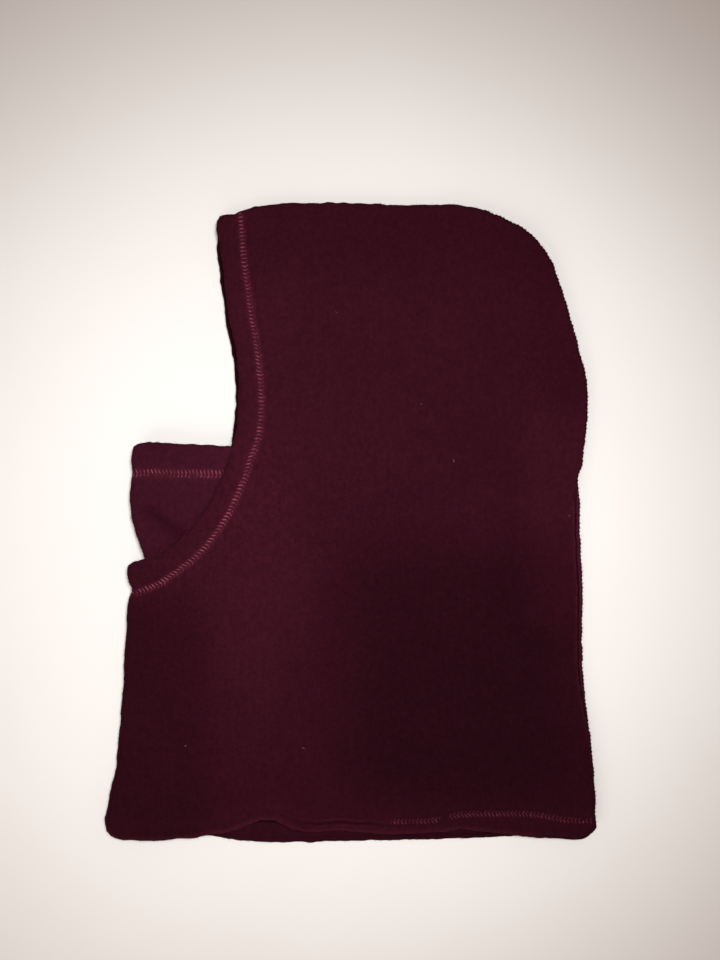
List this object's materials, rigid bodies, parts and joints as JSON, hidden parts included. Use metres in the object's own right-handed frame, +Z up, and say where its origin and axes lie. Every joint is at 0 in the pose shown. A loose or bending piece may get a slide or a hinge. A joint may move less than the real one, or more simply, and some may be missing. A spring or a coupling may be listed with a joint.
{
  "type": "balaclava",
  "caption": "Fleece balaclava laid flat: a hooded cover for head and neck with stitched face and neck hems and a pull-down face mask.",
  "frame": {"origin": "centre of the outline on the surface that the hood lies on", "axes": "+X from the face opening to the back of the head, +Y from the neck to the crown, +Z up, out of the wearer's left side"},
  "size_m": [0.28, 0.3622, 0.0191],
  "materials": {
    "hood_fleece": "fine brushed fleece, matt",
    "mask_fleece": "fine brushed fleece, matt",
    "cover_thread": "textured polyester thread, slight sheen",
    "needle_thread": "spun polyester thread, slight sheen"
  },
  "bodies": {
    "hood": {"left_side_panel": "hood_fleece", "right_side_panel": "hood_fleece", "face_hem_left": "hood_fleece", "face_hem_right": "hood_fleece", "neck_hem_left": "hood_fleece", "neck_hem_right": "hood_fleece", "face_hem_cover_thread": "cover_thread", "face_hem_needle_threads": "needle_thread", "neck_hem_cover_thread": "cover_thread", "neck_hem_needle_threads": "needle_thread", "back_seam_allowance_left": "hood_fleece", "back_seam_allowance_right": "hood_fleece", "back_seam_overlock_thread": "cover_thread", "mask_tack_left": "cover_thread", "mask_tack_right": "cover_thread"},
    "face_mask": {"mask_panel": "mask_fleece", "mask_hem_left": "mask_fleece", "mask_hem_right": "mask_fleece", "mask_hem_cover_thread": "cover_thread", "mask_hem_needle_threads": "needle_thread", "mask_edge_overlock_thread": "cover_thread"}
  },
  "joints": [
    {"name": "mask_pull_down", "type": "hinge", "parent": "hood", "child": "face_mask", "pos_m": [-0.041, 0.03, 0.0088], "axis": [0, 0, 1], "range_deg": [0, 45]}
  ]
}
